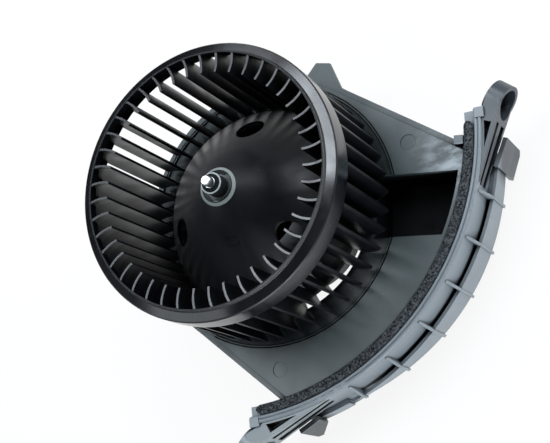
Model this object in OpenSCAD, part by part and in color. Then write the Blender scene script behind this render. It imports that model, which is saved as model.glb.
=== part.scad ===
// Heater blower motor with a squirrel-cage impeller on a slide-in base.
// Units are mm, +Z runs along the shaft towards the impeller's open end.
// The origin is the centre of the motor cup's flat rear face.

/* [Impeller] */
// outside diameter of the impeller's front ring
wheel_d = 150; // [140:1:152]
// height of the impeller from its open back to the ring's front lip
wheel_h = 76; // [70:1:84]
// gap between the base plate and the impeller's lower edge
wheel_gap = 4; // [3:0.5:8]
// number of blades
blade_n = 43; // [30:1:48]
// blade thickness
blade_t = 1.3; // [0.9:0.1:1.8]
// radius of the curve of a blade
blade_arc_r = 22; // [18:1:30]
// angle of a blade's inner end from the radial direction
blade_lean = -8; // [-14:1:0]
// radial depth of a blade
blade_depth = 15.6; // [12:0.2:18]
// height of the ring's outer band
band_h = 12.5; // [8:0.5:20]
// wall of the ring
ring_t = 1.7; // [1.2:0.1:2.4]
// width of the ring's front face
ring_face_w = 6.6; // [5:0.2:9]
// width of the raised lip round the eye
lip_face_w = 1.0; // [0.6:0.1:1.6]

/* [Impeller hub] */
// height of the dome's top above the base plate
dome_top = 62; // [56:1:68]
// radius of the dome's arched section
dome_arc_r = 140; // [110:5:200]
// wall of the dome
dome_t = 2.2; // [1.6:0.2:3]
// diameter of the round boss in the middle of the dome
boss_d = 20; // [18:0.5:24]
// diameter of the recess in the boss
boss_recess_d = 17; // [15:0.5:17.5]
// depth of the recess in the boss
boss_recess_h = 6; // [3:0.5:8]
// diameter of the three holes in the dome
dome_hole_d = 14.5; // [10:0.5:18]
// pitch circle radius of those holes
dome_hole_r = 39.5; // [34:0.5:42]
// turn of the first hole about the shaft
dome_hole_a = -3; // [-60:1:60]
// turn of the small raised bar on the dome
dome_bar_a = -58; // [-70:1:-50]
// sleeve diameter
sleeve_d = 11.6; // [10:0.2:13]
// sleeve length
sleeve_h = 20; // [16:1:24]

/* [Shaft and motor] */
// shaft diameter
shaft_d = 6; // [5:0.5:7]
// shaft length that stands out of the sleeve
shaft_tip = 5.5; // [4:0.5:9]
// running clearance of the shaft in its bushes
run_gap = 0.04; // [0.02:0.01:0.08]
// outside diameter of the motor can
can_d = 62; // [58:1:64]
// length of the motor can
can_h = 66; // [62:1:72]
// wall of the motor can
can_t = 1.6; // [1.2:0.1:2]
// diameter of the bearing bushes
bush_d = 12; // [11:0.5:13]
// length of the bearing bushes
bush_h = 8; // [6:0.5:9]
// armature diameter
core_d = 45; // [42:0.5:46]
// length of the armature stack
core_h = 28; // [24:1:30]
// number of armature slots
core_slots = 10; // [8:2:12]
// air gap between armature and magnets
air_gap = 0.7; // [0.5:0.1:1.2]
// commutator diameter
comm_d = 20; // [18:0.5:22]
// commutator length
comm_h = 12; // [10:0.5:13]
// gap between a brush and the commutator
brush_gap = 0.3; // [0.3:0.05:0.5]

/* [Base plate] */
// height of the plate's top above the rear face
plate_z = 46; // [44:1:52]
// thickness of the plate
plate_t = 4; // [3:0.2:5]
// half width of the plate beside the shaft
plate_half_w = 81.3; // [80:0.5:86]
// sideways shift of the plate
plate_shift = 1.6; // [0:0.2:3]
// growth of the half width for each mm towards the flange
plate_taper = 0.058; // [0:0.002:0.08]
// width of the stepped rail along each side
rail_w = 3.6; // [2.5:0.2:4.5]
// drop of the rail below the plate's top
rail_drop = 1.8; // [1:0.2:2.4]
// radius of the ring groove round the impeller
groove_r = 76.8; // [76:0.2:78]
// width and depth of the ring groove
groove_w = 0.9; // [0.6:0.1:1.4]
// depth of the well under the impeller
well_drop = 1.2; // [0.6:0.2:2]
// length of the rear guide tab
tab_len = 27; // [22:1:32]
// reach of the rear guide tab
tab_out = 9.2; // [7:0.2:12]
// inner radius of the air window
window_r = 50; // [48:0.5:52]
// radial width of the air window
window_w = 11; // [8:0.5:12]
// sweep of the air window in degrees
window_a = 44; // [30:1:48]
// direction of the air window
window_turn = -12; // [-16:1:-8]

/* [Duct trough] */
// direction of the trough from the shaft
trough_a = 31.7; // [29:0.1:33]
// clear width of the trough
trough_w = 35; // [28:1:36]
// depth of the trough below the plate's top
trough_drop = 28; // [22:1:32]
// start of the trough from the shaft
trough_r0 = 64; // [63:0.5:68]
// wall of the trough and the motor cup
wall_t = 2.2; // [1.8:0.1:2.8]

/* [Flange] */
// centre of the flange's arc, along the slide direction
arc_x = -42.9; // [-46:0.1:-40]
// centre of the flange's arc, across the slide direction
arc_y = 12.1; // [9:0.1:14]
// turn of the flange's middle about the arc's centre
arc_turn = -5.5; // [-8:0.1:-3]
// half of the flange's sweep in degrees
arc_half = 41.4; // [39:0.2:43]
// inner radius of the foam seal
foam_r = 144.6; // [140:0.2:147]
// width of the foam seal
foam_w = 5.5; // [4.5:0.1:8]
// thickness of the foam seal
foam_h = 4.6; // [3:0.2:6]
// width of the lip outside the foam
lip_w = 4.4; // [3.6:0.1:5]
// height of the lip above the plate's top
lip_h = 1.2; // [0.6:0.2:2]
// radial width of the slot between wall and skirt
slot_w = 2.2; // [1.6:0.1:3]
// thickness of the skirt
skirt_t = 1.8; // [1.4:0.1:2.4]
// drop of the skirt's upper edge below the plate's top
slot_drop = 17.5; // [16:0.5:19]
// drop of the slot's floor below the plate's top
floor_drop = 26; // [23:0.5:28]
// drop of the skirt's lowest point below the plate's top
skirt_drop = 37.4; // [35:0.2:42]
// radius of the skirt's curved lower edge
skirt_arc_r = 265; // [220:5:300]
// place of the skirt's lowest point across the flange
skirt_arc_y = 38; // [20:1:45]
// number of ribs
rib_n = 6; // [5:1:7]
// angle between ribs
rib_step = 9.56; // [8.5:0.02:10]
// angle of the first rib
rib_first = -20.6; // [-21:0.1:-20]
// thickness of a rib
rib_t = 1.6; // [1.2:0.1:2]
// reach of a rib's nub below the skirt
rib_nub = 2; // [1:0.2:3]

/* [Arms] */
// angle of the upper arm's root from the flange's middle
arm_up_a = 22.6; // [21.5:0.1:24]
// angle of the lower arm's root from the flange's middle
arm_low_a = 20; // [19:0.1:22]
// length of the upper arm to its eyelet
arm_up_len = 62.8; // [58:0.2:66]
// length of the lower arm to its eyelet
arm_low_len = 67; // [62:0.5:70]
// thickness of an arm
arm_t = 9; // [8:0.2:10]
// drop of an arm's lower edge at its root
arm_root_drop = 10.3; // [8:0.1:13]
// drop of an eyelet's centre below the plate's top
eye_drop = 10.2; // [9:0.2:12]
// eyelet outside diameter
eye_d = 21.2; // [20:0.2:24]
// eyelet recess diameter
eye_recess_d = 16.8; // [15:0.2:18]
// depth of the eyelet recess
eye_recess_h = 6; // [4:0.2:7]
// screw hole diameter
screw_hole_d = 6.6; // [5.5:0.1:7]
// depth of the two grooves in an arm
arm_groove_h = 5; // [3:0.2:6]
// start of a tongue along its arm
tongue_at = 29.4; // [28:0.2:32]
// reach of the upper tongue along its arm
tongue_up_len = 17.2; // [14:0.2:20]
// reach of the lower tongue along its arm
tongue_low_len = 14; // [11:0.2:17]
// drop of the upper tongue's lower edge
tongue_drop = 44; // [38:0.5:45]

/* [Hidden] */
$fn = 96;
clear = 0.3;
wheel_r = wheel_d / 2;
wheel_z0 = plate_z + wheel_gap;
wheel_z1 = wheel_z0 + wheel_h;
cage_out_r = wheel_r - ring_t;
cage_in_r = cage_out_r - blade_depth;
eye_r = wheel_r - ring_face_w;
lip_drop = 1.8;
face_drop = 3.6;
bevel_drop = 4.4;
web_drop = 6;
rim_h = 5;
rim_z = wheel_z0 + rim_h;
rim_r = cage_in_r + 1.2;
dome_z = plate_z + dome_top;
dome_r0 = boss_d / 2;
chord = [rim_r - dome_r0, rim_z - dome_z];
chord_len = norm(chord);
dome_sag = sqrt(pow(dome_arc_r, 2) - pow(chord_len / 2, 2));
dome_c = [
    (rim_r + dome_r0) / 2 + dome_sag * chord[1] / chord_len,
    (rim_z + dome_z) / 2 - dome_sag * chord[0] / chord_len
];
sleeve_z0 = dome_z - 12;
sleeve_z1 = sleeve_z0 + sleeve_h;
shaft_r = shaft_d / 2;
shaft_z0 = 7;
shaft_z1 = sleeve_z1 + shaft_tip;
can_r = can_d / 2;
can_in_r = can_r - can_t;
cap_z0 = wall_t + 3.2;
cap_t = 2.4;
can_z0 = cap_z0 + cap_t;
can_z1 = can_z0 + can_h;
bush_r = bush_d / 2;
bush_wall = 1.8;
bush_z0 = cap_z0 + cap_t;
bush_z1 = can_z1 - can_t;
card_z = can_z0 + bush_h + 1;
comm_z0 = card_z + 1;
comm_z1 = comm_z0 + comm_h;
coil_h = 6;
core_z0 = comm_z1 + 1 + coil_h;
core_z1 = core_z0 + core_h;
core_r = core_d / 2;
slot_hole_r = 3.1;
slot_hole_at = core_r - 5.5;
magnet_r = core_r + air_gap;
magnet_over = 3;
brush_z = comm_z0 + comm_h / 2;
brush_r0 = comm_d / 2 + brush_gap;
brush_len = 8;
brush_w = 5;
holder_t = 0.6;
holder_r0 = brush_r0 + 1.4;
holder_len = can_in_r - holder_r0 - 8.7;
choke_turn = 65;
cup_r = can_r + 7;
cup_in_r = cup_r - wall_t;
plate_low = plate_z - plate_t;
well_z = plate_z - well_drop;
ring_plate_t = 2.5;
ring_plate_r = cup_r + 8.5;
ring_screw_r = cup_r + 3.6;
ring_screw_d = 3.2;
ring_screw_n = 3;
boss_h = 9;
foam_out_r = foam_r + foam_w;
wall_r = foam_out_r + lip_w;
wall_in_r = wall_r - 2.8;
skirt_r = wall_r + slot_w + skirt_t;
ledge_drop = 2;
ledge_t = 2.4;
floor_t = 2;
spare = 3;
rib_out = 0.7;
wall_drop = floor_drop + floor_t + 1;
bead_r = 0.26 * lip_w;
lip_up_a = arc_half + 2.6;
lip_low_a = arc_half + 1.9;
hook_a = 2.1;
tongue_lap = asin((tongue_at + 3.5) / skirt_r);
skirt_half_up = arm_up_a + tongue_lap;
skirt_half_low = arm_low_a + tongue_lap;
slot_end_low = rib_first - 3.4;
slot_end_up = rib_first + rib_step * (rib_n - 1) + 0.15;
corner_y = plate_shift + plate_half_w + plate_taper * (arc_x + 0.85 * foam_r);
corner_a = asin((corner_y - arc_y) / foam_r) - arc_turn;
arm_tuck = 0.25;
arm_top = eye_d / 2 - eye_drop - arm_tuck;
arm_face_r = wall_r - 0.8;
arm_in_r = wall_r - 1.8;
arm_web = 1.2;
arm_ridge = 2;
socket_w = 19;
socket_h = 13;
socket_len = 15;
socket_z = plate_low - boss_h - socket_h - 1;
socket_t = 1.6;
pin_w = 6.3;
pin_t = 0.8;
plastic_black = [0.06, 0.06, 0.07];
plastic_grey = [0.2, 0.21, 0.22];
steel = [0.72, 0.73, 0.75];
zinc = [0.6, 0.61, 0.62];
copper = [0.72, 0.43, 0.25];
brass = [0.75, 0.62, 0.33];
rubber = [0.1, 0.1, 0.1];
ferrite = [0.16, 0.16, 0.17];
carbon = [0.12, 0.12, 0.13];

// plain ring between two radii and two heights
module tube(r_out, r_in, z0, z1) {
    translate([0, 0, z0]) linear_extrude(z1 - z0) difference() {
        circle(r_out);
        circle(r_in);
    }
}

// move from the shaft's frame to the frame of the flange's arc
module on_arc() {
    translate([arc_x, arc_y, plate_z]) rotate([0, 0, arc_turn]) children();
}

// plan of a disc about the flange's arc, in the shaft's frame
module arc_disc(r) {
    translate([arc_x, arc_y]) circle(r);
}

// sweep a radial section of the flange between two angles
module arc_sweep(a0, a1) {
    rotate([0, 0, a0]) rotate_extrude(angle = a1 - a0) children();
}

// place of one screw of the retainer ring
module at_ring_screw(i) {
    rotate([0, 0, 360 / ring_screw_n * (i + 0.5)]) translate([ring_screw_r, 0, 0]) children();
}

// places of all screws of the retainer ring
module at_ring_screws() {
    for (i = [0:ring_screw_n - 1]) at_ring_screw(i) children();
}

// plan of the base plate, drawn in from its edge by a margin
module plate_plan(margin) {
    far = arc_x + foam_r;
    near_w = plate_half_w - margin;
    far_w = near_w + plate_taper * far;
    intersection() {
        union() {
            translate([0, plate_shift]) circle(near_w);
            polygon([
                [0, near_w + plate_shift], [far, far_w + plate_shift],
                [far, plate_shift - far_w], [0, plate_shift - near_w]
            ]);
        }
        arc_disc(foam_r);
    }
}

// plan of the trough, drawn out from its clear width by a margin
module trough_plan(margin) {
    intersection() {
        rotate(trough_a) translate([trough_r0 - margin, -trough_w / 2 - margin])
            square([foam_r, trough_w + 2 * margin]);
        arc_disc(foam_r - wall_t + margin);
    }
}

// plan of the rear guide tab on the plate's upper side
module tab_plan() {
    edge = plate_half_w + plate_shift;
    foot = edge - tab_out;
    tip = edge + tab_out;
    polygon([
        [-tab_len - 1, foot], [-tab_len, tip - 0.4 * tab_out],
        [-0.7 * tab_len, tip], [-0.12 * tab_len, edge - 0.5], [-0.12 * tab_len, foot]
    ]);
}

module base_plate() {
    mark_d = 9;
    mark_h = 0.4;
    mark_r = groove_r + 13;
    stop_a = corner_a + 0.7;
    stop_w = 5;
    stop_h = 1.6;
    color(plastic_grey) difference() {
        union() {
            translate([0, 0, plate_low]) linear_extrude(plate_t - rail_drop) {
                plate_plan(0);
                tab_plan();
            }
            translate([0, 0, plate_z - rail_drop]) linear_extrude(rail_drop) plate_plan(rail_w);
            on_arc() rotate([0, 0, stop_a])
                translate([foam_r - clear - stop_w, -stop_w / 2, clear - plate_t])
                    cube([stop_w, stop_w, plate_t - clear + stop_h]);
        }
        translate([0, 0, well_z]) cylinder(r = groove_r - groove_w, h = plate_t);
        tube(groove_r + groove_w / 2, groove_r - groove_w / 2, plate_z - groove_w, plate_z + 1);
        translate([0, 0, plate_low - 1]) cylinder(r = cup_in_r, h = plate_t + 2);
        translate([0, 0, plate_low - 1]) linear_extrude(plate_t + 2) trough_plan(0);
        rotate([0, 0, window_turn - window_a / 2])
            translate([0, 0, plate_low - 1]) rotate_extrude(angle = window_a)
                translate([window_r, 0]) square([window_w, plate_t + 2]);
        at_ring_screws() translate([0, 0, plate_low - 1]) cylinder(d = ring_screw_d, h = plate_t + 2);
        for (a = [-51, 55])
            rotate([0, 0, a]) translate([mark_r, 0, plate_z - mark_h]) cylinder(d = mark_d, h = 1);
    }
}

module motor_cup() {
    fin_t = 2;
    fin_h = 22;
    boss_wall = 2.5;
    color(plastic_grey) difference() {
        union() {
            cylinder(r = cup_r, h = plate_low);
            at_ring_screws() translate([0, 0, plate_low - boss_h])
                cylinder(d = ring_screw_d + 2 * boss_wall, h = boss_h);
            for (i = [0:5])
                rotate([0, 0, 60 * i + 30]) rotate([90, 0, 0])
                    translate([cup_r - 1, plate_low, -fin_t / 2]) linear_extrude(fin_t)
                        polygon([[0, 0], [fin_h / 2, 0], [0, -fin_h]]);
        }
        translate([0, 0, wall_t]) cylinder(r = cup_in_r, h = plate_low);
        at_ring_screws() translate([0, 0, plate_low - boss_h + 1]) cylinder(d = ring_screw_d, h = boss_h);
    }
}

module duct_trough() {
    color(plastic_grey) difference() {
        translate([0, 0, plate_z - trough_drop - wall_t])
            linear_extrude(trough_drop + wall_t - plate_t) trough_plan(wall_t);
        translate([0, 0, plate_z - trough_drop]) linear_extrude(trough_drop) trough_plan(0);
    }
}

// solid whose lower side is the skirt's curved lower edge, and all of the slot inside it
module skirt_bound(extra) {
    translate([0, skirt_arc_y, skirt_arc_r - skirt_drop]) rotate([0, 90, 0])
        cylinder(r = skirt_arc_r + extra, h = 2 * skirt_r);
    translate([0, 0, -2 * skirt_drop]) cylinder(r = skirt_r - skirt_t - 0.1, h = 2 * skirt_drop);
}

module flange_rib(angle) {
    foot = floor_drop + floor_t / 2;
    tip = skirt_drop + rib_nub + spare;
    root_r = wall_r - 0.6;
    top = lip_w / 2 - lip_h + 0.6;
    rotate([0, 0, angle]) rotate([90, 0, 0]) translate([0, 0, -rib_t / 2]) linear_extrude(rib_t)
        polygon([
            [root_r, -top], [wall_r + rib_out, -top], [skirt_r + rib_out, -slot_drop],
            [skirt_r + rib_out, -tip], [skirt_r - skirt_t, -tip],
            [skirt_r - skirt_t, -foot], [root_r, -foot]
        ]);
}

// flat tongue under an arm, which carries the skirt on past its end
module flange_tongue(side, angle, len, reach, foot, low) {
    end = tongue_at + reach;
    nick = 2.5;
    arm_plate(side, angle, arm_face_r + 0.7, 1.4 * skirt_t) polygon([
        [tongue_at, arm_low(tongue_at, len) + 1], [end, arm_low(end, len) + 1],
        [end, nick - low], [end - nick, -low], [tongue_at, -foot]
    ]);
}

// small block on the outer side of the lip's end
module lip_hook(a0) {
    hook_out = 1.6;
    arc_sweep(a0, a0 + hook_a) translate([foam_out_r + 1, lip_h - lip_w])
        square([lip_w + hook_out - 1, lip_w + 0.5]);
}

module flange_wall() {
    color(plastic_grey) difference() {
        union() {
            on_arc() {
                arc_sweep(-lip_low_a, lip_up_a) lip_section();
                lip_hook(-lip_low_a - 0.1);
                lip_hook(lip_up_a + 0.1 - hook_a);
                intersection() {
                    arc_sweep(-skirt_half_low, skirt_half_up) skirt_section();
                    skirt_bound(0);
                }
                arc_sweep(-skirt_half_low + 0.3, slot_end_low) slot_fill();
                arc_sweep(slot_end_up, skirt_half_up - 0.3) slot_fill();
                intersection() {
                    for (i = [0:rib_n - 1]) flange_rib(rib_first + rib_step * i);
                    skirt_bound(rib_nub);
                }
            }
            flange_tongue(1, arm_up_a, arm_up_len, tongue_up_len, tongue_drop, tongue_drop);
            flange_tongue(-1, arm_low_a, arm_low_len, tongue_low_len, floor_drop, tongue_drop - rib_nub);
        }
        arm_solid(1, arm_up_a, arm_up_len);
        arm_solid(-1, arm_low_a, arm_low_len);
    }
}

// section of the flange's wall with the foam's ledge and the twin-beaded lip
module lip_section() {
    translate([foam_r, -ledge_drop - ledge_t]) square([wall_r - foam_r, ledge_t]);
    translate([foam_out_r, -ledge_drop - ledge_t]) square([lip_w, ledge_drop + ledge_t + lip_h - bead_r]);
    bead_in = bead_r + 0.05;
    for (r = [foam_out_r + bead_in, wall_r - bead_in])
        translate([r, lip_h - bead_r]) circle(bead_r);
    translate([wall_in_r, -wall_drop]) square([wall_r - wall_in_r, wall_drop - ledge_drop]);
}

// section of the skirt and the slot's floor
module skirt_section() {
    translate([wall_r - 1, -floor_drop - floor_t]) square([skirt_r - wall_r + 1, floor_t]);
    translate([skirt_r - skirt_t, -skirt_drop - spare]) square([skirt_t, skirt_drop + spare - slot_drop]);
}

// section that closes the slot beyond the outermost ribs
module slot_fill() {
    low = floor_drop + floor_t / 2;
    top = slot_drop + 0.4;
    translate([wall_r - 0.5, -low]) square([slot_w + 0.5 + skirt_t / 2, low - top]);
}

// height of an arm's lower edge at a distance along it
function arm_low(s, len) = -arm_root_drop - (eye_drop + eye_d / 2 - 2 * arm_tuck - arm_root_drop) * s / len;

// height of a point between an arm's lower edge (0) and its top (1)
function arm_mid(s, len, f) = arm_low(s, len) + f * (arm_top - arm_low(s, len));

// upright slab in an arm's frame, from its outline along the arm
module arm_plate(side, angle, x, t) {
    on_arc() rotate([0, 0, side * angle]) mirror([0, side < 0 ? 1 : 0, 0])
        translate([x, 0, 0]) rotate([90, 0, 90]) linear_extrude(t) children();
}

// solid bar and eyelet of an arm, clear of the flange's wall and lip
module arm_solid(side, angle, len) {
    difference() {
        union() {
            arm_plate(side, angle, arm_face_r - arm_t, arm_t)
                polygon([[0, -arm_root_drop], [len, arm_low(len, len)], [len, arm_top], [0, arm_top]]);
            eyelet_at(side, angle, len) cylinder(d = eye_d, h = arm_t);
        }
        arc_core(arm_in_r);
        on_arc() translate([0, 0, lip_h - lip_w]) cylinder(r = wall_r + 0.1, h = 2 * lip_w);
    }
}

// upright cylinder about the flange's arc
module arc_core(r) {
    translate([arc_x, arc_y, 0]) cylinder(r = r, h = 2 * plate_z);
}

// groove along an arm's outer face, which runs out where the arm meets the wall
module arm_groove(side, angle, len, low, high) {
    reach = len - eye_d / 2 - 1;
    difference() {
        arm_plate(side, angle, arm_face_r - arm_groove_h, arm_groove_h + 1) polygon([
            [0, arm_mid(0, len, low)], [reach, arm_mid(reach, len, low)],
            [reach, arm_mid(reach, len, high)], [0, arm_mid(0, len, high)]
        ]);
        arc_core(arm_in_r + arm_web);
    }
}

// hollow between an arm's front ridge and the lip
module arm_pocket(side, angle, len) {
    pocket_h = 5;
    difference() {
        arm_plate(side, angle, arm_face_r - arm_t - 1, arm_t + 1 - arm_ridge)
            translate([len / 2, arm_top - pocket_h]) square([len / 3.4, 2 * pocket_h]);
        arc_core(wall_r + arm_web);
    }
}

// arm with its eyelet, whose screw axis runs along the slide direction
module arm(side, angle, len) {
    color(plastic_grey) difference() {
        arm_solid(side, angle, len);
        arm_groove(side, angle, len, 0.63, 0.81);
        arm_groove(side, angle, len, 0.12, 0.39);
        arm_pocket(side, angle, len);
        eyelet_at(side, angle, len) {
            translate([0, 0, -eye_d]) cylinder(d = eye_recess_d, h = eye_recess_h + eye_d);
            cylinder(d = screw_hole_d, h = arm_t + 1);
        }
    }
}

// centre of an eyelet's front face, with Z running back into the eyelet
module eyelet_at(side, angle, len) {
    turn = arc_turn + side * angle;
    x = arc_x + arm_face_r * cos(turn) - side * len * sin(turn);
    y = arc_y + arm_face_r * sin(turn) + side * len * cos(turn);
    translate([x, y, plate_z - eye_drop]) rotate([0, -90, 0]) children();
}

module arm_upper() arm(1, arm_up_a, arm_up_len);

module arm_lower() arm(-1, arm_low_a, arm_low_len);

module foam_seal() {
    foam_a = arc_half - asin(foam_w / 2 / foam_r);
    color(rubber) on_arc() translate([0, 0, -ledge_drop]) {
        arc_sweep(-foam_a, foam_a) translate([foam_r, 0]) square([foam_w, foam_h]);
        for (side = [-1, 1])
            rotate([0, 0, side * foam_a]) translate([foam_r + foam_w / 2, 0])
                cylinder(d = foam_w - clear, h = foam_h);
    }
}

module retainer_ring() {
    color(zinc) difference() {
        tube(ring_plate_r, can_r + 1, well_z, well_z + ring_plate_t);
        at_ring_screws() translate([0, 0, well_z - 1]) cylinder(d = ring_screw_d, h = ring_plate_t + 2);
    }
}

module ring_screw(i) {
    head_z = well_z + ring_plate_t;
    head_h = 2.2;
    tip_z = plate_low - boss_h + 2;
    color(zinc) at_ring_screw(i) difference() {
        union() {
            translate([0, 0, head_z]) cylinder(d = 2 * ring_screw_d, h = head_h);
            translate([0, 0, tip_z]) cylinder(d = ring_screw_d, h = head_z + 1 - tip_z);
        }
        translate([0, 0, head_z + head_h / 2]) cylinder(d = ring_screw_d, h = head_h, $fn = 6);
    }
}

module screw_a() ring_screw(0);

module screw_b() ring_screw(1);

module screw_c() ring_screw(2);

module isolator_ring() {
    lug_n = 12;
    lug_r = (cup_in_r - can_r) * 0.27;
    ring_h = 2 * (cup_in_r - can_r);
    color(rubber) translate([0, 0, well_z - ring_h]) linear_extrude(ring_h) difference() {
        circle(cup_in_r);
        circle(can_r);
        for (i = [0:lug_n - 1])
            rotate(360 / lug_n * i) translate([(cup_in_r + can_r) / 2, 0]) circle(lug_r);
    }
}

module rear_pad() {
    color(rubber) tube(0.9 * can_r, 0.6 * can_r, wall_t, cap_z0);
}

module motor_can() {
    vent_d = 7;
    color(zinc) difference() {
        union() {
            tube(can_r, can_in_r, can_z0, can_z1);
            translate([0, 0, can_z1 - can_t]) cylinder(r = can_r - 0.2, h = can_t);
            translate([0, 0, can_z1 - can_t]) cylinder(r = bush_r + bush_wall, h = bush_h + bush_wall);
        }
        translate([0, 0, can_z1 - can_t - 1]) cylinder(r = bush_r, h = bush_h + 1);
        translate([0, 0, can_z1]) cylinder(r = shaft_r + 1, h = bush_h + 4);
        for (i = [0:5])
            rotate([0, 0, 60 * i]) translate([can_in_r * 0.62, 0, can_z1 - can_t - 1])
                cylinder(d = vent_d, h = can_t + 2);
    }
}

module end_cap() {
    color(plastic_black) difference() {
        union() {
            translate([0, 0, cap_z0]) cylinder(r = can_r, h = cap_t);
            tube(bush_r + bush_wall, bush_r, cap_z0, bush_z0 + bush_h);
        }
        translate([0, 0, cap_z0 + 1]) cylinder(r = shaft_r + 1, h = cap_t);
    }
}

// field magnet that fills one side of the can
module magnet(turn) {
    sweep = 130;
    color(ferrite) rotate([0, 0, turn - sweep / 2]) translate([0, 0, core_z0 - magnet_over])
        rotate_extrude(angle = sweep) translate([magnet_r, 0])
            square([can_in_r - magnet_r, core_h + 2 * magnet_over]);
}

module magnet_a() magnet(0);

module magnet_b() magnet(180);

// sprung clip between the two magnets
module magnet_clip(turn) {
    sweep = 46;
    color(steel) rotate([0, 0, turn - sweep / 2]) translate([0, 0, core_z0])
        rotate_extrude(angle = sweep) translate([can_in_r - 1, 0]) square([1, core_h]);
}

module magnet_clip_a() magnet_clip(90);

module magnet_clip_b() magnet_clip(270);

module bush_front() {
    color(brass) tube(bush_r, shaft_r + run_gap, bush_z1, bush_z1 + bush_h);
}

module bush_rear() {
    color(brass) tube(bush_r, shaft_r + run_gap, bush_z0, bush_z0 + bush_h);
}

module brush_card() {
    color(plastic_black) tube(can_in_r, comm_d / 2 + 2, card_z - 1, card_z + 1);
}

// place a brush part on its side of the commutator
module at_brush(turn) {
    rotate([0, 0, turn]) translate([0, 0, brush_z]) children();
}

module brush(turn) {
    color(carbon) at_brush(turn) translate([brush_r0, -brush_w / 2, -brush_w / 2])
        cube([brush_len, brush_w, brush_w]);
}

module brush_holder(turn) {
    outer = brush_w + 2 * holder_t;
    foot_h = brush_z - card_z - 1;
    color(brass) at_brush(turn) {
        difference() {
            translate([holder_r0, -outer / 2, -foot_h]) cube([holder_len, outer, foot_h + outer / 2]);
            translate([holder_r0 - 1, -brush_w / 2, -brush_w / 2]) cube([holder_len + 2, brush_w, brush_w]);
        }
    }
}

module brush_spring(turn) {
    roll_r = brush_w / 2;
    color(steel) at_brush(turn) translate([brush_r0 + brush_len + roll_r, 0, -brush_w / 2 + clear])
        linear_extrude(brush_w - 2 * clear) difference() {
            circle(roll_r);
            circle(roll_r - 1.2);
        }
}

module brush_holder_a() brush_holder(0);

module brush_holder_b() brush_holder(180);

module brush_a() brush(0);

module brush_b() brush(180);

module brush_spring_a() brush_spring(0);

module brush_spring_b() brush_spring(180);

// interference choke that stands on the brush card
module choke(turn) {
    choke_r = 3;
    color(copper) rotate([0, 0, turn]) translate([can_in_r - choke_r - 2, 0, card_z + 1])
        cylinder(r = choke_r, h = comm_h - 2);
}

module choke_a() choke(choke_turn);

module choke_b() choke(choke_turn + 180);

module socket() {
    inner_w = socket_w - 2 * socket_t;
    inner_h = socket_h - 2 * socket_t;
    color(plastic_black) difference() {
        translate([-cup_r - socket_len, -socket_w / 2, socket_z])
            cube([socket_len + 4, socket_w, socket_h]);
        translate([-cup_r - socket_len - 1, -inner_w / 2, socket_z + socket_t])
            cube([socket_len - 1, inner_w, inner_h]);
        translate([0, 0, -1]) cylinder(r = cup_r, h = plate_z);
        for (side = [-1, 1]) terminal_bar(side);
    }
}

module terminal_bar(side) {
    translate([-cup_r - socket_len + 4, side * 3.8 - pin_w / 2, socket_z + socket_h / 2 - pin_t / 2])
        cube([socket_len - 4 - 0.6, pin_w, pin_t]);
}

module terminal_a() color(brass) terminal_bar(-1);

module terminal_b() color(brass) terminal_bar(1);

module shaft() {
    tip_r = shaft_r - 0.2;
    step_z = sleeve_z1 + 0.5;
    chamfer = 0.6;
    color(steel) {
        translate([0, 0, shaft_z0]) cylinder(r = shaft_r, h = step_z - shaft_z0);
        translate([0, 0, step_z - 1]) cylinder(r = tip_r, h = shaft_z1 - chamfer - step_z + 1);
        translate([0, 0, shaft_z1 - chamfer]) cylinder(r1 = tip_r, r2 = tip_r - chamfer, h = chamfer);
    }
}

module armature_core() {
    color(zinc) translate([0, 0, core_z0]) linear_extrude(core_h) difference() {
        circle(core_r);
        circle(shaft_r);
        for (i = [0:core_slots - 1]) rotate(360 / core_slots * i) {
            translate([slot_hole_at, 0]) circle(slot_hole_r);
            translate([slot_hole_at, -0.9]) square([core_r, 1.8]);
        }
    }
}

module winding() {
    coil_in = slot_hole_at - slot_hole_r - 1.5;
    coil_out = slot_hole_at + slot_hole_r;
    color(copper) {
        tube(coil_out, coil_in, core_z0 - coil_h, core_z0);
        tube(coil_out, coil_in, core_z1, core_z1 + coil_h);
        for (i = [0:core_slots - 1])
            rotate([0, 0, 360 / core_slots * i]) translate([slot_hole_at, 0, core_z0 - 1])
                cylinder(r = slot_hole_r - clear, h = core_h + 2);
    }
}

module commutator() {
    slit = 0.6;
    color(copper) translate([0, 0, comm_z0]) linear_extrude(comm_h) difference() {
        circle(comm_d / 2);
        circle(shaft_r);
        for (i = [0:core_slots - 1])
            rotate(360 / core_slots * i) translate([comm_d / 2 - 1, -slit / 2]) square([2, slit]);
    }
}

module washer_front() {
    color(steel) tube(bush_r - 1, shaft_r, bush_z1 - 1 - clear, bush_z1 - clear);
}

module washer_rear() {
    color(steel) tube(bush_r - 1, shaft_r, bush_z0 + bush_h + clear, bush_z0 + bush_h + clear + 0.6);
}

module hub_sleeve() {
    step = 0.8;
    color(plastic_grey) {
        tube(sleeve_d / 2, shaft_r, sleeve_z0, sleeve_z1 - step);
        tube(sleeve_d / 2 - step, shaft_r, sleeve_z1 - step, sleeve_z1);
    }
}

// plan of one blade as a curved strip between two radii
module blade_plan(r_in, r_out) {
    intersection() {
        difference() {
            circle(r_out);
            circle(r_in);
        }
        translate([cage_in_r, 0]) rotate(blade_lean) translate([0, blade_arc_r]) difference() {
            circle(blade_arc_r);
            circle(blade_arc_r - blade_t);
            translate([-2 * blade_arc_r, -2 * blade_arc_r]) square([1.7 * blade_arc_r, 4 * blade_arc_r]);
            translate([-2 * blade_arc_r, 0]) square(4 * blade_arc_r);
        }
    }
}

// all blades between two radii and two heights
module blades(r_in, r_out, z0, z1) {
    translate([0, 0, z0]) linear_extrude(z1 - z0)
        for (i = [0:blade_n - 1]) rotate(360 / blade_n * i) blade_plan(r_in, r_out);
}

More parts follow.
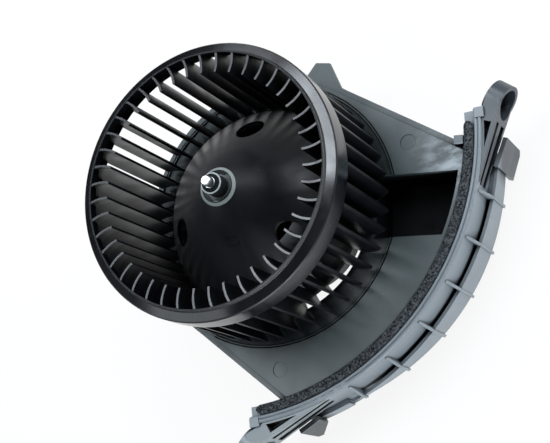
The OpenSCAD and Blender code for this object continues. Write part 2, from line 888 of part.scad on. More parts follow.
// section of the domed hub between two offsets from its outer face
module dome_section(low, high, r0, r1) {
    intersection() {
        translate(dome_c) difference() {
            circle(dome_arc_r + high);
            circle(dome_arc_r + low);
        }
        translate([r0, 0]) square([r1 - r0, dome_z + 9]);
    }
}

module impeller() {
    bar_r = 26;
    bar_w = 3;
    bar_sweep = 15;
    color(plastic_black) {
        blades(cage_in_r, cage_out_r + ring_t / 2, wheel_z0, wheel_z1 - web_drop);
        blades(cage_in_r, eye_r + lip_face_w / 2, wheel_z1 - web_drop, wheel_z1 - clear);
        rotate_extrude() polygon([
            [eye_r, wheel_z1], [eye_r + lip_face_w, wheel_z1],
            [eye_r + 1.6 * lip_face_w, wheel_z1 - lip_drop], [wheel_r - 0.6, wheel_z1 - face_drop],
            [wheel_r, wheel_z1 - bevel_drop], [wheel_r, wheel_z1 - bevel_drop - band_h],
            [wheel_r - ring_t, wheel_z1 - bevel_drop - band_h], [wheel_r - ring_t, wheel_z1 - web_drop],
            [eye_r, wheel_z1 - web_drop + 1]
        ]);
        difference() {
            union() {
                rotate_extrude() dome_section(-dome_t, 0, dome_r0 - 2, rim_r);
                tube(rim_r, rim_r - dome_t, wheel_z0, rim_z);
                tube(dome_r0, sleeve_d / 2, sleeve_z0 + 2, dome_z);
            }
            tube(boss_recess_d / 2, sleeve_d / 2 + 1, dome_z - boss_recess_h, dome_z + 9);
            for (i = [0:2])
                rotate([0, 0, dome_hole_a + 120 * i]) translate([dome_hole_r, 0, wheel_z0])
                    cylinder(d = dome_hole_d, h = wheel_h);
        }
        rotate([0, 0, dome_bar_a]) rotate_extrude(angle = bar_sweep)
            dome_section(-0.5, 0.7, bar_r, bar_r + bar_w);
    }
}

base_plate();
motor_cup();
duct_trough();
flange_wall();
arm_upper();
arm_lower();
foam_seal();
retainer_ring();
screw_a();
screw_b();
screw_c();
isolator_ring();
rear_pad();
motor_can();
end_cap();
magnet_a();
magnet_b();
magnet_clip_a();
magnet_clip_b();
bush_front();
bush_rear();
brush_card();
brush_holder_a();
brush_holder_b();
brush_a();
brush_b();
brush_spring_a();
brush_spring_b();
choke_a();
choke_b();
socket();
terminal_a();
terminal_b();
shaft();
armature_core();
winding();
commutator();
washer_front();
washer_rear();
hub_sleeve();
impeller();
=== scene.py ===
import math

import bmesh
import bpy
from mathutils import Matrix, Vector, noise


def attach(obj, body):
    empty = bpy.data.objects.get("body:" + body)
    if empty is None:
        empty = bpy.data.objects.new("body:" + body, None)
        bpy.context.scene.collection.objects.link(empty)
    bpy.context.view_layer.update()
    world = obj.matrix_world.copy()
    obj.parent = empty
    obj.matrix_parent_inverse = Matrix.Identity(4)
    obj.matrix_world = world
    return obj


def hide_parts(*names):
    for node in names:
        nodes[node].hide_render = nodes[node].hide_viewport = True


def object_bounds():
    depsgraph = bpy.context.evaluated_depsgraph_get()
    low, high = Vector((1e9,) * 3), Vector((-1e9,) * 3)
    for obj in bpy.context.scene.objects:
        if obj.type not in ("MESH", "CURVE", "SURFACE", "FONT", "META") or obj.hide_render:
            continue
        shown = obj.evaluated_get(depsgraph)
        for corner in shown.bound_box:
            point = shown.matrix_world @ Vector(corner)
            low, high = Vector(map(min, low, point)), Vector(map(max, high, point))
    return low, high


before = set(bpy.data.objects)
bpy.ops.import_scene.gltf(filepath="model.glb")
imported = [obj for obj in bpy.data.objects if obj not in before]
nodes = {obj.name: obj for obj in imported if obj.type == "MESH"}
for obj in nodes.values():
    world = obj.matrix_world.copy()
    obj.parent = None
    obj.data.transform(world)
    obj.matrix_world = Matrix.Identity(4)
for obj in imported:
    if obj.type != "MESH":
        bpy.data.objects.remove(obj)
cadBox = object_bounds()
scene = bpy.context.scene
mm = 0.001
print("stage: frame loaded,", len(nodes), "nodes")

camera = {  # place in metres, the picture's axes, sensor and lens in mm, range in metres
    "place": (0.346575, 0.024775, 0.63823),
    "right": (0.73277, 0.51404, -0.44588),
    "up": (-0.46261, 0.85685, 0.22758),
    "back": (0.49904, 0.03951, 0.86568),
    "sensor": 36, "lens": 78.545,
    "near": 0.01, "far": 30,
}


def makeCamera(spec):
    data = bpy.data.cameras.new("productCamera")
    data.sensor_width = spec["sensor"]
    data.lens = spec["lens"]
    data.clip_start = spec["near"]
    data.clip_end = spec["far"]
    eye = bpy.data.objects.new("productCamera", data)
    axes = [Vector(spec[k]).normalized() for k in ("right", "up", "back")]
    turn = Matrix(axes).transposed()
    eye.matrix_world = Matrix.Translation(spec["place"]) @ turn.to_4x4()
    scene.collection.objects.link(eye)
    scene.camera = eye


makeCamera(camera)
print("stage: camera set")

noiseSpan = (0.3, 0.7)  # where most values of a noise texture lie
plainShine = 0.5
dustLook = {"span": (0.04, 0.015), "colour": "#8f9294"}  # rim and core of a speck, as shares of the gap
patchCore = 0.7  # share of a patch's reach that has its full colour
bumpStrength = {"metal": 0.5, "powder": 0.6, "wire": 0.8, "foam": 1.0}
rays = {"hollows": 8, "bladeEnds": 6}  # rays per point that look for hollows and for edges to round
mixA, mixB, mixOut = 4, 5, 1  # the vector sockets of a Mix node


def srgb(hexText):  # hex colour to linear
    parts = [int(hexText[i:i + 2], 16) / 255 for i in (1, 3, 5)]
    linear = [c / 12.92 if c <= 0.04045 else ((c + 0.055) / 1.055) ** 2.4 for c in parts]
    return (*linear, 1.0)


def perMm(size):  # texture scale for a pattern of that size in mm
    return 1000 / size


def put(tree, kind, inputs=None, **settings):
    node = tree.nodes.new(kind)
    for key, value in settings.items():
        setattr(node, key, value)
    for key, value in (inputs or {}).items():
        if isinstance(value, bpy.types.NodeSocket):
            tree.links.new(value, node.inputs[key])
        else:
            node.inputs[key].default_value = value
    return node


def maths(tree, operation, *values):
    return put(tree, "ShaderNodeMath", dict(enumerate(values)), operation=operation).outputs[0]


def vectors(tree, operation, inputs, output="Vector"):
    return put(tree, "ShaderNodeVectorMath", inputs, operation=operation).outputs[output]


def vectorMix(tree, share, under, over):
    return put(tree, "ShaderNodeMix", {0: share, mixA: under, mixB: over}, data_type="VECTOR").outputs[mixOut]


def blend(tree, share, under, over):  # one colour over another
    return put(tree, "ShaderNodeMixRGB", {"Fac": share, "Color1": under, "Color2": over}).outputs["Color"]


def spread(tree, value, before, after=(0.0, 1.0), **settings):  # a value moved from one range to another
    inputs = {"Value": value, "From Min": before[0], "From Max": before[1],
              "To Min": after[0], "To Max": after[1]}
    return put(tree, "ShaderNodeMapRange", inputs, **settings).outputs[0]


def clouds(tree, place, size, **inputs):  # noise with features of that size in mm
    inputs = {"Vector": place, "Scale": perMm(size), **inputs}
    return put(tree, "ShaderNodeTexNoise", inputs).outputs["Fac"]


def bumps(tree, height, deep, strength, **inputs):  # depth in mm
    inputs = {"Height": height, "Distance": deep * mm, "Strength": strength, **inputs}
    return put(tree, "ShaderNodeBump", inputs).outputs[0]


def within(tree, value, low, high):  # 1 where a length lies between two sizes in mm
    return maths(tree, "COMPARE", value, (low + high) / 2 * mm, (high - low) / 2 * mm)


def nearSpot(tree, place, spot, reach, core):  # 1 in the core of a spot, 0 beyond its reach in mm
    away = vectors(tree, "DISTANCE", {0: place, 1: Vector(spot) * mm}, "Value")
    return spread(tree, away, (reach * mm, core * reach * mm))


def roundShaft(tree, place):  # offset from the shaft's axis, its length, and the height
    split = put(tree, "ShaderNodeSeparateXYZ", {"Vector": place}).outputs
    offset = put(tree, "ShaderNodeCombineXYZ", {"X": split["X"], "Y": split["Y"]}).outputs[0]
    return offset, vectors(tree, "LENGTH", {0: offset}, "Value"), split["Z"]


def startMaterial(name):
    material = bpy.data.materials.new(name)
    material.use_nodes = True
    tree = material.node_tree
    tree.nodes.clear()
    place = put(tree, "ShaderNodeTexCoord").outputs["Object"]
    return material, tree, place


def closeMaterial(material, inputs, kind="ShaderNodeBsdfPrincipled"):
    tree = material.node_tree
    shader = put(tree, kind, inputs)
    put(tree, "ShaderNodeOutputMaterial", {"Surface": shader.outputs[0]})
    return material


def addScuffs(tree, place, colour, scuffs):  # pale rub marks where the unit slides in
    inputs = {"Vector": place, "Scale": (scuffs["long"], 1.0, 1.0),
              "Rotation": (0, 0, math.radians(scuffs["turn"]))}
    stretch = put(tree, "ShaderNodeMapping", inputs, vector_type="TEXTURE").outputs[0]
    rub = clouds(tree, stretch, scuffs["size"], Detail=5.0, Roughness=0.62)
    for spot, reach, strength in scuffs["spots"]:
        near = nearSpot(tree, place, spot, reach, scuffs["core"])
        marks = spread(tree, rub, scuffs["span"], (0.0, strength))
        colour = blend(tree, maths(tree, "MULTIPLY", near, marks), colour, srgb(scuffs["colour"]))
    return colour


def impellerNormal(tree, place, dome):  # blade ends get rounded edges, the dome an even normal along its arc
    offset, radius, height = roundShaft(tree, place)
    facing = put(tree, "ShaderNodeNewGeometry").outputs["Normal"]
    edge = put(tree, "ShaderNodeBevel", {"Radius": dome["edge"] * mm}, samples=rays["bladeEnds"]).outputs[0]
    facing = vectorMix(tree, within(tree, height, dome["edgeLow"], dome["edgeHigh"]), facing, edge)
    out = maths(tree, "ADD", radius, -dome["centre"][0] * mm)
    rise = maths(tree, "ADD", height, -dome["centre"][1] * mm)
    spoke = put(tree, "ShaderNodeCombineXYZ", {"X": out, "Y": rise}).outputs[0]
    away = vectors(tree, "LENGTH", {0: spoke}, "Value")
    onDome = within(tree, away, dome["radius"] - dome["skin"], dome["radius"] + dome["skin"])
    sideways = vectors(tree, "SCALE", {0: offset, "Scale": maths(tree, "DIVIDE", out, radius)})
    upright = put(tree, "ShaderNodeCombineXYZ", {"Z": rise}).outputs[0]
    arc = vectors(tree, "ADD", {0: sideways, 1: upright})
    turned = put(tree, "ShaderNodeVectorTransform", {0: arc}, vector_type="NORMAL",
                 convert_from="OBJECT", convert_to="WORLD").outputs[0]
    return vectorMix(tree, onDome, facing, turned)


def mouldedPlastic(name, look):
    material, tree, place = startMaterial(name)
    mottle = clouds(tree, place, look["mottle"], Detail=4.0)
    colour = blend(tree, mottle, srgb(look["dark"]), srgb(look["light"]))
    if "scuffs" in look:
        colour = addScuffs(tree, place, colour, look["scuffs"])
    flow = clouds(tree, place, look["flow"], Detail=2.0, Distortion=1.2)
    gloss = spread(tree, flow, noiseSpan, look["rough"])
    shine = look.get("shine", plainShine)
    if "bands" in look:  # rings round the shaft
        radius, height = roundShaft(tree, place)[1:]
        for inner, outer, low, high, hexText, rougher, shinier in look["bands"]:
            inside = within(tree, radius, inner, outer)
            level = within(tree, height, low, high)
            here = maths(tree, "MULTIPLY", inside, level)
            gloss = maths(tree, "MULTIPLY_ADD", here, rougher, gloss)
            shine = maths(tree, "MULTIPLY_ADD", here, shinier, shine)
            if hexText:
                colour = blend(tree, here, colour, srgb(hexText))
    for spot, reach, hexText in look.get("paintedLightAndShade", ()):  # painted light and shade: places painted paler or darker, fading outwards
        near = nearSpot(tree, place, spot, reach, patchCore)
        colour = blend(tree, near, colour, srgb(hexText))
    if "paintedShade" in look:  # painted shade: hollows are darkened and lose their shine, as if in shadow
        paintedShade = look["paintedShade"]
        hollows = put(tree, "ShaderNodeAmbientOcclusion", {"Distance": paintedShade["reach"] * mm},
                      samples=rays["hollows"])
        unshaded = spread(tree, hollows.outputs["AO"], paintedShade["span"])
        colour = blend(tree, unshaded, srgb(paintedShade["colour"]), colour)
        shine = maths(tree, "MULTIPLY", shine, unshaded)
    specks = put(tree, "ShaderNodeTexVoronoi", {"Vector": place, "Scale": perMm(look["dustGap"])})
    dust = spread(tree, specks.outputs["Distance"], dustLook["span"], (0.0, look["dust"]))
    colour = blend(tree, dust, colour, srgb(dustLook["colour"]))
    grain = clouds(tree, place, look["grain"], Detail=3.0)
    under = {"Normal": impellerNormal(tree, place, look["dome"])} if "dome" in look else {}
    return closeMaterial(material, {
        "Base Color": colour, "Roughness": gloss, "IOR": look["ior"], "Specular IOR Level": shine,
        "Normal": bumps(tree, grain, look["grainDeep"], look["bump"], **under),
    })


def bareMetal(name, look):
    material, tree, place = startMaterial(name)
    stretch = put(tree, "ShaderNodeMapping", {"Vector": place, "Scale": look["stretch"]}).outputs[0]
    lines = clouds(tree, stretch, look["lines"], Detail=3.0)
    mottle = clouds(tree, place, look["mottle"], Detail=5.0)
    return closeMaterial(material, {
        "Base Color": blend(tree, mottle, srgb(look["dark"]), srgb(look["light"])), "Metallic": 1.0,
        "Roughness": spread(tree, lines, noiseSpan, look["rough"]),
        "Normal": bumps(tree, lines, look["deep"], bumpStrength["metal"]),
    })


def pressedPowder(name, look):
    material, tree, place = startMaterial(name)
    inputs = {"Vector": place, "Scale": perMm(look["grit"])}
    grit = put(tree, "ShaderNodeTexVoronoi", inputs).outputs["Distance"]
    return closeMaterial(material, {
        "Base Color": blend(tree, grit, srgb(look["dark"]), srgb(look["light"])),
        "Metallic": look["metallic"], "Roughness": look["rough"],
        "Normal": bumps(tree, grit, look["deep"], bumpStrength["powder"]),
    })


def woundWire(name, look):
    material, tree, place = startMaterial(name)
    inputs = {"Vector": place, "Scale": perMm(look["wire"]) / 2 / math.pi, "Distortion": 0.6, "Detail": 1.0}
    turns = put(tree, "ShaderNodeTexWave", inputs, bands_direction="Z").outputs["Fac"]
    return closeMaterial(material, {
        "Base Color": blend(tree, turns, srgb(look["dark"]), srgb(look["light"])), "Metallic": 1.0,
        "Roughness": look["rough"], "Coat Weight": 0.6, "Coat Roughness": 0.15,
        "Normal": bumps(tree, turns, look["deep"], bumpStrength["wire"]),
    })


def foamSkin(name, look):
    material, tree, place = startMaterial(name)
    inputs = {"Vector": place, "Scale": perMm(look["cell"]), "Detail": 1.0}
    cells = put(tree, "ShaderNodeTexVoronoi", inputs, feature="F1").outputs["Distance"]
    fibres = clouds(tree, place, look["fibre"], Detail=4.0)
    torn = maths(tree, "MULTIPLY", cells, fibres)
    bright = spread(tree, torn, look["span"])
    return closeMaterial(material, {
        "Base Color": blend(tree, bright, srgb(look["dark"]), srgb(look["light"])),
        "Roughness": 0.95, "Specular IOR Level": 0.2,
        "Normal": bumps(tree, torn, look["deep"], bumpStrength["foam"]),
    })


# Sizes in a look are in mm. A band gives inner and outer radius, low and high, colour, and what it adds to
# roughness and shine. A patch of painted light or shade gives its centre, reach and colour.

# black polypropylene from a polished mould: deep black with a soft sheen and faint flow clouds
impellerBlack = mouldedPlastic("polypropylene black, polished mould", {
    "dark": "#07080c", "light": "#0c0d12", "mottle": 34, "rough": (0.34, 0.46), "flow": 22, "shine": 0.42,
    "grain": 0.7, "grainDeep": 0.02, "bump": 0.15, "ior": 1.5, "dust": 0.3, "dustGap": 9,
    "bands": [
        (68.2, 74.35, 121, 127, None, -0.21, 0.5),  # front face of the ring
        (74.7, 76, 108.8, 121.5, None, -0.23, 0.15),  # outer side of the ring
        (56, 68.2, 125, 127, None, -0.08, 0.2),  # front ends of the blades
        (8.4, 10.6, 102.2, 108.6, "#828987", 0, 0.1),  # rim of the boss
        (6.75, 8.4, 101.0, 107.9, "#a9b0ae", 0.2, 0),  # recess in the boss, grey like the rim and painted paler as painted light, since it lies in shade
        (68.2, 69.3, 125.6, 127, None, 0.35, -0.6),  # inner rim of the ring
        (57, 73.5, 52, 119.5, None, -0.01, -0.18),  # sides of the blades
    ],
    "dome": {"centre": (-64.98, -10.24), "radius": 140, "skin": 0.3,
             "edge": 0.25, "edgeLow": 109, "edgeHigh": 127},
})
# grey polypropylene filled with talc: satin, slightly cloudy, whitens where it is rubbed
plateGrey = mouldedPlastic("talc-filled polypropylene, satin mould", {
    "dark": "#2a3334", "light": "#455051", "mottle": 26, "rough": (0.32, 0.42), "flow": 30, "shine": 0.5,
    "grain": 0.6, "grainDeep": 0.03, "bump": 0.3, "ior": 1.5, "dust": 0.3, "dustGap": 8,
    # painted shade: the plate is darkened and dulled round the impeller's foot and in its hollows, where
    # shadow falls
    "paintedShade": {"reach": 36, "span": (0.36, 0.78), "colour": "#08090a"},
    "scuffs": {"turn": 50, "long": 2.4, "size": 7, "span": (0.42, 0.72), "core": 0.2, "colour": "#a4adb3",
               "spots": [((84, 76, 46), 22, 0.95), ((70, 77, 46), 20, 0.55)]},
})
# the same moulding inside the duct, painted near black as painted shade for its unlit inside
ductShadeBlack = mouldedPlastic("talc-filled polypropylene, painted shade black", {
    "dark": "#08090a", "light": "#0e0f11", "mottle": 20, "rough": (0.6, 0.75), "flow": 14, "shine": 0.12,
    "grain": 0.6, "grainDeep": 0.03, "bump": 0.3, "ior": 1.5, "dust": 0.15, "dustGap": 9,
})
# the same filled plastic on the flange, painted paler than the plate as painted light, more matt, with
# painted shade in its hollows and darker tongues
flangeGrey = mouldedPlastic("talc-filled polypropylene, painted paler", {
    "dark": "#737a7f", "light": "#838a8f", "mottle": 30, "rough": (0.36, 0.46), "flow": 18, "shine": 0.6,
    "grain": 0.55, "grainDeep": 0.04, "bump": 0.4, "ior": 1.5, "dust": 0.2, "dustGap": 10,
    "paintedShade": {"reach": 6, "span": (0.2, 0.65), "colour": "#0c0d0f"},
    # painted shade: the two tongues darker, fading outwards
    "paintedLightAndShade": [((92, 99, 16), 22, "#3c4247"), ((79, -92, 20), 20, "#30363a")],
})
# the arms, the same moulding, painted darker than the flange as painted shade and with more sheen; painted
# shade in their hollows, and the lower one painted paler as painted light
armGrey = mouldedPlastic("talc-filled polypropylene, glossy, painted darker", {
    "dark": "#343a40", "light": "#3f454c", "mottle": 24, "rough": (0.34, 0.44), "flow": 16, "shine": 0.6,
    "grain": 0.55, "grainDeep": 0.03, "bump": 0.3, "ior": 1.5, "dust": 0.2, "dustGap": 10,
    "paintedShade": {"reach": 7, "span": (0.35, 0.85), "colour": "#090a0b"},
    # painted light: the lower arm paler, fading outwards
    "paintedLightAndShade": [((66, -104, 36), 70, "#767e80")],
})
# glass-filled polyamide: dark, dry looking, with fine fibre grain
polyamideBlack = mouldedPlastic("glass-filled polyamide, moulded", {
    "dark": "#131417", "light": "#1d1f22", "mottle": 12, "rough": (0.45, 0.6), "flow": 9,
    "grain": 0.5, "grainDeep": 0.04, "bump": 0.5, "ior": 1.53, "dust": 0.1, "dustGap": 7,
})
# the same polyamide on the sleeve, with a pale ring painted round its end as a painted highlight
sleeveBlack = mouldedPlastic("glass-filled polyamide, painted edge highlight", {
    "dark": "#0b0c0e", "light": "#111315", "mottle": 12, "rough": (0.4, 0.5), "flow": 9,
    "grain": 0.5, "grainDeep": 0.03, "bump": 0.3, "ior": 1.53, "dust": 0.1, "dustGap": 7,
    "bands": [
        (5.02, 6.2, 114.6, 115.5, "#a3abab", 0, 0),  # step round the end, painted pale as a painted highlight of its edge
        (0.0, 5.1, 115.5, 116.4, "#15181a", 0.3, -0.4),  # end face
    ],
})
# nitrile rubber: dull black with a powdery bloom
rubberBlack = mouldedPlastic("nitrile rubber, moulded", {
    "dark": "#161617", "light": "#242527", "mottle": 8, "rough": (0.7, 0.85), "flow": 6,
    "grain": 0.8, "grainDeep": 0.05, "bump": 0.6, "ior": 1.52, "dust": 0.2, "dustGap": 6,
})
# ground steel: bright, with fine rings round the shaft
shaftSteel = bareMetal("bearing steel, ground", {
    "dark": "#b9bcc0", "light": "#dfe1e4", "mottle": 6, "lines": 0.9, "stretch": (0.05, 0.05, 1.0),
    "rough": (0.26, 0.38), "deep": 0.01,
})
# zinc plated steel: bluish grey and cloudy
zincSteel = bareMetal("steel sheet, zinc plated", {
    "dark": "#7f878f", "light": "#a6adb4", "mottle": 7, "lines": 2.5, "stretch": (1.0, 1.0, 0.2),
    "rough": (0.28, 0.42), "deep": 0.02,
})
# stacked electrical steel: dark grey with the edges of the sheets showing
sheetSteel = bareMetal("electrical steel, stamped and stacked", {
    "dark": "#55585c", "light": "#74787c", "mottle": 9, "lines": 1.0, "stretch": (0.02, 0.02, 1.0),
    "rough": (0.4, 0.6), "deep": 0.08,
})
# sintered bronze: dull gold with fine pores
bushBronze = bareMetal("bronze, sintered", {
    "dark": "#8a6a3c", "light": "#ab8850", "mottle": 1.6, "lines": 0.9, "stretch": (1.0, 1.0, 1.0),
    "rough": (0.4, 0.6), "deep": 0.03,
})
# stamped brass: bright yellow with drawing lines
pinBrass = bareMetal("brass strip, stamped", {
    "dark": "#b08d47", "light": "#cfae66", "mottle": 5, "lines": 1.2, "stretch": (0.1, 1.0, 1.0),
    "rough": (0.22, 0.36), "deep": 0.01,
})
# turned copper bars: pinkish with fine turning lines
barCopper = bareMetal("copper, turned", {
    "dark": "#9c5d3c", "light": "#c07a52", "mottle": 5, "lines": 0.8, "stretch": (0.05, 0.05, 1.0),
    "rough": (0.25, 0.4), "deep": 0.01,
})
# enamelled copper wire: rounded turns under clear varnish
coilCopper = woundWire("copper wire, enamelled", {
    "dark": "#5e2f18", "light": "#b36a3c", "wire": 1.0, "deep": 0.3, "rough": 0.3,
})
# ferrite: dark grey ceramic with a fine grit
magnetFerrite = pressedPowder("ferrite, sintered", {
    "dark": "#2b2d30", "light": "#3b3e42", "grit": 0.9, "deep": 0.04, "rough": 0.6, "metallic": 0.0,
})
# pressed carbon: soft black with a graphite glint
brushCarbon = pressedPowder("carbon, pressed", {
    "dark": "#1b1c1e", "light": "#33353a", "grit": 0.6, "deep": 0.04, "rough": 0.45, "metallic": 0.3,
})
# polyurethane foam: charcoal cells with paler torn edges, drawn a little coarser than real to show
foamCharcoal = foamSkin("polyurethane foam, cut", {
    "dark": "#060607", "light": "#54585c", "cell": 1.1, "fibre": 1.3, "span": (0.2, 0.6), "deep": 0.5,
})
print("stage: materials made")

finishes = {
    impellerBlack: ["impeller"],
    plateGrey: ["base_plate", "motor_cup"],
    ductShadeBlack: ["duct_trough"],
    flangeGrey: ["flange_wall"],
    armGrey: ["arm_upper", "arm_lower"],
    polyamideBlack: ["end_cap", "brush_card", "socket"],
    sleeveBlack: ["hub_sleeve"],
    rubberBlack: ["isolator_ring", "rear_pad"],
    shaftSteel: ["shaft", "washer_front", "washer_rear", "brush_spring_a", "brush_spring_b",
                 "magnet_clip_a", "magnet_clip_b"],
    zincSteel: ["motor_can", "retainer_ring", "screw_a", "screw_b", "screw_c"],
    sheetSteel: ["armature_core"],
    bushBronze: ["bush_front", "bush_rear"],
    pinBrass: ["terminal_a", "terminal_b", "brush_holder_a", "brush_holder_b"],
    barCopper: ["commutator"],
    coilCopper: ["winding", "choke_a", "choke_b"],
    magnetFerrite: ["magnet_a", "magnet_b"],
    brushCarbon: ["brush_a", "brush_b"],
    foamCharcoal: ["foam_seal"],
}
edges = {
    "sharpAngle": 28, "bevelAngle": 35, "segments": 2,  # angles in degrees
    "widths": {  # width in mm of the rounded edge left by each mould or tool
        "base_plate": 0.4, "motor_cup": 0.4, "duct_trough": 0.4, "flange_wall": 0.3, "arm_upper": 0.4,
        "arm_lower": 0.4, "hub_sleeve": 0.25, "socket": 0.4, "retainer_ring": 0.2,
    },
}
for material, names in finishes.items():
    for name in names:
        mesh = nodes[name].data
        mesh.materials.clear()
        mesh.materials.append(material)
        mesh.shade_smooth()
        mesh.set_sharp_from_angle(angle=math.radians(edges["sharpAngle"]))
for name, width in edges["widths"].items():
    bevel = nodes[name].modifiers.new("softEdge", "BEVEL")
    bevel.width = width * mm
    bevel.segments = edges["segments"]
    bevel.limit_method = "ANGLE"
    bevel.angle_limit = math.radians(edges["bevelAngle"])
    bevel.use_clamp_overlap = True
    bevel.harden_normals = True
smooth = nodes["impeller"].modifiers.new("evenNormals", "WEIGHTED_NORMAL")
smooth.keep_sharp = True
print("stage: nodes dressed")

foam = {  # lengths in mm, angles in degrees
    "centre": (-42.9, 12.1), "turn": -5.5, "half": 41.4,  # the flange's arc
    "inner": 144.6, "width": 5.5, "low": 44.0, "high": 48.6,
    "inset": 0.05, "topInset": 0.1,  # kept inside the plain strip's sides and top
    "steps": 520, "cornerSteps": 4, "topSteps": 6,
    "round": 1.3, "endFace": 0.1,  # corners, and how blunt the round ends are
    "cell": 1.6, "rough": 0.28,  # size of the cells and height of their edges
    "sideLift": 0.4, "dent": 0.6,  # shares of that height: upwards below the top, and inwards
    "smoothFoot": 0.1, "topBand": 0.2,  # height left smooth, and depth that counts as the top
}


def foamSection(spec, inner, outer, low, high):
    # across the strip: a flat foot, two rounded corners and a flat top between them
    corner, steps = spec["round"], spec["topSteps"]
    flat = outer - inner - 2 * corner
    section = [(inner, low), (outer, low)]
    for middle, first in ((outer - corner, 0), (inner + corner, 90)):
        for k in range(spec["cornerSteps"] + 1):
            a = math.radians(first + 90 / spec["cornerSteps"] * k)
            section.append((middle + corner * math.cos(a), high - corner + corner * math.sin(a)))
        if first == 0:
            section += [(outer - corner - t * flat / steps, high) for t in range(1, steps)]
    return section


def makeFoam(spec):
    # the section is walked round the arc and roughened cell by cell
    low, high = spec["low"] + spec["inset"], spec["high"] - spec["topInset"]
    inner, outer = spec["inner"] + spec["inset"], spec["inner"] + spec["width"] - spec["inset"]
    middle = (inner + outer) / 2
    section = foamSection(spec, inner, outer, low, high)
    shape = bmesh.new()
    rings = []
    for i in range(spec["steps"] + 1):
        t = i / spec["steps"]
        a = math.radians(spec["turn"] - spec["half"] + 2 * spec["half"] * t)
        fromEnd = math.radians(spec["half"] * (1 - abs(2 * t - 1))) * middle
        squeeze = math.sqrt(1 - max(0, 1 - (fromEnd + spec["endFace"]) / spec["width"] * 2) ** 2)
        ring = []
        for r, z in section:
            r = middle + (r - middle) * squeeze
            p = Vector((spec["centre"][0] + r * math.cos(a), spec["centre"][1] + r * math.sin(a), z))
            out = Vector((math.cos(a), math.sin(a), 0)) * (1 if r > middle else -1)
            lift = noise.noise(p / spec["cell"]) * spec["rough"]
            if z > low + spec["smoothFoot"]:
                p += Vector((0, 0, 1)) * lift * (spec["sideLift"] if z < high - spec["topBand"] else 1.0)
                p += out * min(0, lift) * spec["dent"]
            ring.append(shape.verts.new(p * mm))
        rings.append(ring)
    n = len(section)
    for a, b in zip(rings, rings[1:]):
        for k in range(n):
            shape.faces.new((a[k], a[(k + 1) % n], b[(k + 1) % n], b[k]))
    shape.faces.new(list(reversed(rings[0])))
    shape.faces.new(rings[-1])
    bmesh.ops.recalc_face_normals(shape, faces=shape.faces)
    mesh = bpy.data.meshes.new("foamStrip")
    shape.to_mesh(mesh)
    shape.free()
    mesh.shade_smooth()
    mesh.materials.append(foamCharcoal)
    strip = bpy.data.objects.new("foamStrip", mesh)
    scene.collection.objects.link(strip)
    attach(strip, "base")
    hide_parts("foam_seal")


makeFoam(foam)
print("stage: foam strip made")

studio = {
    "sky": {  # strength near the horizon and overhead, and the dark side behind the impeller
        "low": 0.33, "high": 0.06, "rise": (0.22, 0.6), "screen": 0.1, "screenSpan": (-0.85, -0.5),
    },
    "floor": {  # half size and drop in metres, paper fibres in mm; white is the share that glows when seen
        "half": 4.0, "drop": 0.0002, "colour": "#f4f4f4", "white": 0.88,
        "fibre": 3.0, "deep": 0.02, "bump": 0.2,
    },
    "tint": "#e8f1f9",  # cool white lamps
    "lamps": {  # place and aim in metres, size in metres, power in watts
        "overhead": {"place": (-0.52, -0.07, 1.42), "aim": (0.0, 0.0, 0.06), "along": (0, 1, 0),
                     "size": (1.0, 0.7), "power": 12},
        "glint": {"place": (-0.66, -0.03, 1.33), "aim": (0.0, 0.0, 0.1), "along": (0, 1, 0),
                  "size": (0.3, 0.3), "power": 2.5},
        "strip": {"place": (-0.17, 0.78, 1.31), "aim": (0.0, 0.0, 0.1), "along": (-0.85, 0.38, -0.37),
                  "size": (1.1, 0.34), "power": 11},
        "upper": {"place": (-0.87, 0.79, 0.95), "aim": (0.0, 0.0, 0.1), "along": (-0.38, -0.15, -0.23),
                  "size": (0.7, 0.3), "power": 3},
        "low": {"place": (-0.29, -1.0, 1.11), "aim": (0.0, 0.0, 0.1), "along": (-0.37, -0.1, -0.2),
                "size": (0.8, 0.4), "power": 1.5},
        "front": {"place": (1.35, -0.8, 0.28), "aim": (0.08, -0.02, 0.03), "along": (0.57, 0.82, 0),
                  "size": (0.9, 0.5), "power": 19},
        "side": {"place": (0.52, 1.2, 0.64), "aim": (0.03, 0.02, 0.1), "along": (0.9, -0.4, 0),
                 "size": (0.5, 0.5), "power": 8},
    },
}


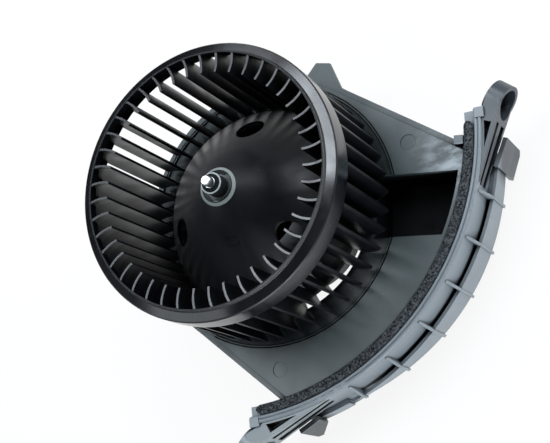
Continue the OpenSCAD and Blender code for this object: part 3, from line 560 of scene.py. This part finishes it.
def makeSky(spec):
    world = bpy.data.worlds.new("studio")
    world.use_nodes = True
    tree = world.node_tree
    tree.nodes.clear()
    ray = put(tree, "ShaderNodeTexCoord").outputs["Generated"]
    split = put(tree, "ShaderNodeSeparateXYZ", {"Vector": ray}).outputs
    level = spread(tree, split["Z"], spec["rise"], (spec["low"], spec["high"]),
                   interpolation_type="SMOOTHSTEP")
    screen = spread(tree, split["X"], spec["screenSpan"], (spec["screen"], 1.0))
    level = maths(tree, "MULTIPLY", level, screen)
    sky = put(tree, "ShaderNodeBackground", {"Color": (1, 1, 1, 1), "Strength": level})
    put(tree, "ShaderNodeOutputWorld", {"Surface": sky.outputs[0]})
    scene.world = world


def makeFloor(spec):
    # paper that looks white in the picture and in reflections, and is plain paper for the light it scatters
    paper, tree, place = startMaterial("paper, matt white")
    fibre = clouds(tree, place, spec["fibre"], Detail=3.0)
    normal = bumps(tree, fibre, spec["deep"], spec["bump"])
    matt = put(tree, "ShaderNodeBsdfDiffuse", {"Color": srgb(spec["colour"]), "Normal": normal})
    white = put(tree, "ShaderNodeEmission", {"Color": (1, 1, 1, 1), "Strength": 1.0})
    path = put(tree, "ShaderNodeLightPath").outputs
    seen = maths(tree, "MAXIMUM", path["Is Camera Ray"], path["Is Glossy Ray"])
    share = maths(tree, "MULTIPLY", seen, spec["white"])
    closeMaterial(paper, {0: share, 1: matt.outputs[0], 2: white.outputs[0]}, "ShaderNodeMixShader")
    shape = bmesh.new()
    bmesh.ops.create_grid(shape, x_segments=1, y_segments=1, size=spec["half"])
    mesh = bpy.data.meshes.new("floor")
    shape.to_mesh(mesh)
    shape.free()
    mesh.materials.append(paper)
    floor = bpy.data.objects.new("floor", mesh)
    floor.location.z = cadBox[0].z - spec["drop"]
    scene.collection.objects.link(floor)


def makeLamps(lamps, tint):
    for name, lamp in lamps.items():
        data = bpy.data.lights.new(name, "AREA")
        data.shape = "RECTANGLE"
        data.size, data.size_y = lamp["size"]
        data.energy = lamp["power"]
        data.color = srgb(tint)[:3]
        body = bpy.data.objects.new(name, data)
        back = (Vector(lamp["place"]) - Vector(lamp["aim"])).normalized()
        across = back.cross(Vector(lamp["along"])).normalized()
        turn = Matrix((across.cross(back), across, back)).transposed()
        body.matrix_world = Matrix.Translation(lamp["place"]) @ turn.to_4x4()
        scene.collection.objects.link(body)


makeSky(studio["sky"])
makeFloor(studio["floor"])
makeLamps(studio["lamps"], studio["tint"])
scene.view_settings.view_transform = "Standard"
print("stage: studio lit")
